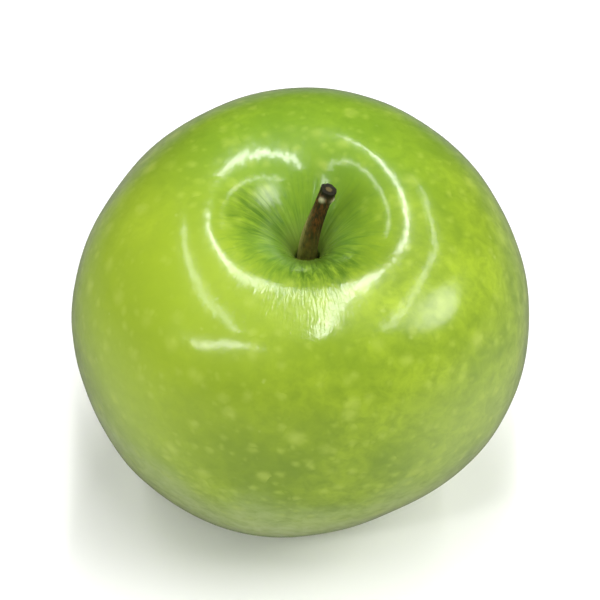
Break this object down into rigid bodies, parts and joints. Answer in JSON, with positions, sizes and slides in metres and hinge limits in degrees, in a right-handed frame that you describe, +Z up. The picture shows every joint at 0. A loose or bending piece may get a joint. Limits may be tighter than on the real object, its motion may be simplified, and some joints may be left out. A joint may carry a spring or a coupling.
{
  "type": "green apple",
  "caption": "Whole green apple standing upright: lopsided round fruit with a hollow on top, a short woody stalk, and a dried calyx in the basin below.",
  "frame": {"origin": "on the surface that the apple stands on, under the middle of its outline seen from above", "axes": "+Z up, from the calyx to the stalk; the shoulder that is seen in the picture faces -Y, and +X is to its right"},
  "size_m": [0.0766, 0.0754, 0.0687],
  "materials": {
    "apple_skin": "smooth waxy yellow-green skin with pale specks",
    "stalk_bark": "dull dark brown bark with a pale pith scar at the tip",
    "dried_sepals": "dry, dull grey-brown"
  },
  "bodies": {
    "root": {"fruit": "apple_skin", "stalk": "stalk_bark", "calyx": "dried_sepals"}
  },
  "joints": []
}
